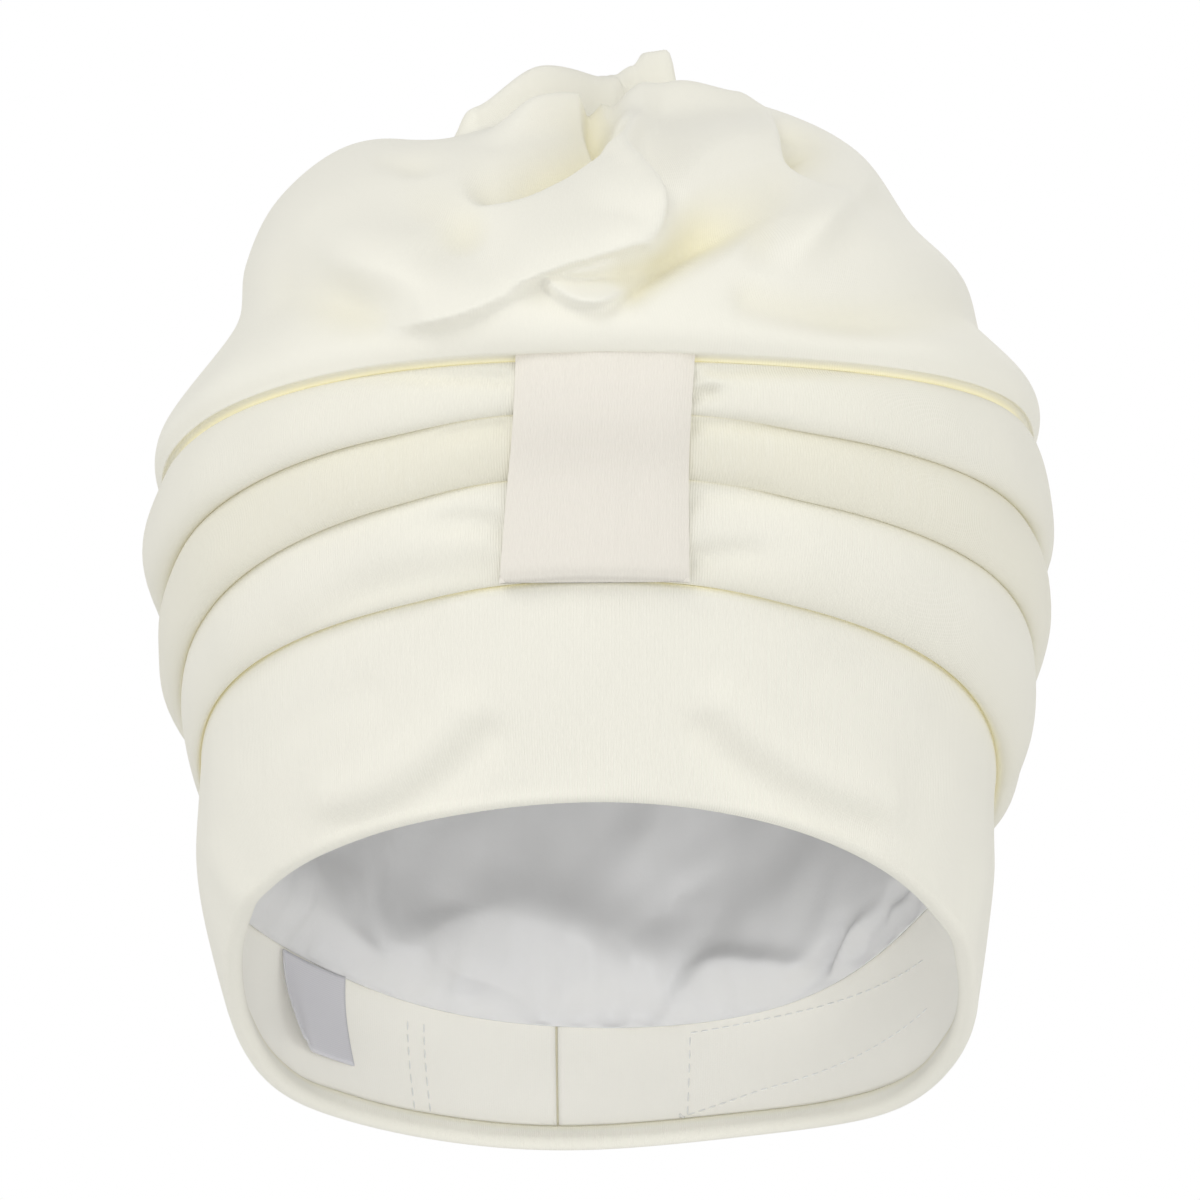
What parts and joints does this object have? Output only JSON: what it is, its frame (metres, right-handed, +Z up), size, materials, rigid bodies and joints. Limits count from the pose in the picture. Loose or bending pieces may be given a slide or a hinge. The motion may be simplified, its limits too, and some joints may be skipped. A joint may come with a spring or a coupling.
{
  "type": "turban bathing cap",
  "caption": "Stretch jersey turban cap with a plain brow band, stacked folds under a centre tab, a draped twisted crown and a waterproof lining cap.",
  "frame": {"origin": "the middle of the head opening, on the plane of the rim", "axes": "+Z up as worn, -Y towards the brow, +X to the wearer's left; the rim's plane is high at the brow and low at the nape"},
  "size_m": [0.2009, 0.2467, 0.2493],
  "materials": {
    "cream_jersey": "matt fine-ribbed polyester jersey",
    "facing_jersey": "matt smooth jersey, wrong side out",
    "lining_film": "thin waterproof coated film, soft sheen",
    "label_cloth": "woven satin label, blank"
  },
  "bodies": {
    "root": {"headband": "cream_jersey", "pleated_panel": "cream_jersey", "crown": "cream_jersey", "centre_tab": "cream_jersey", "inner_band": "facing_jersey", "lining_cap": "lining_film", "care_label": "label_cloth"}
  },
  "joints": []
}
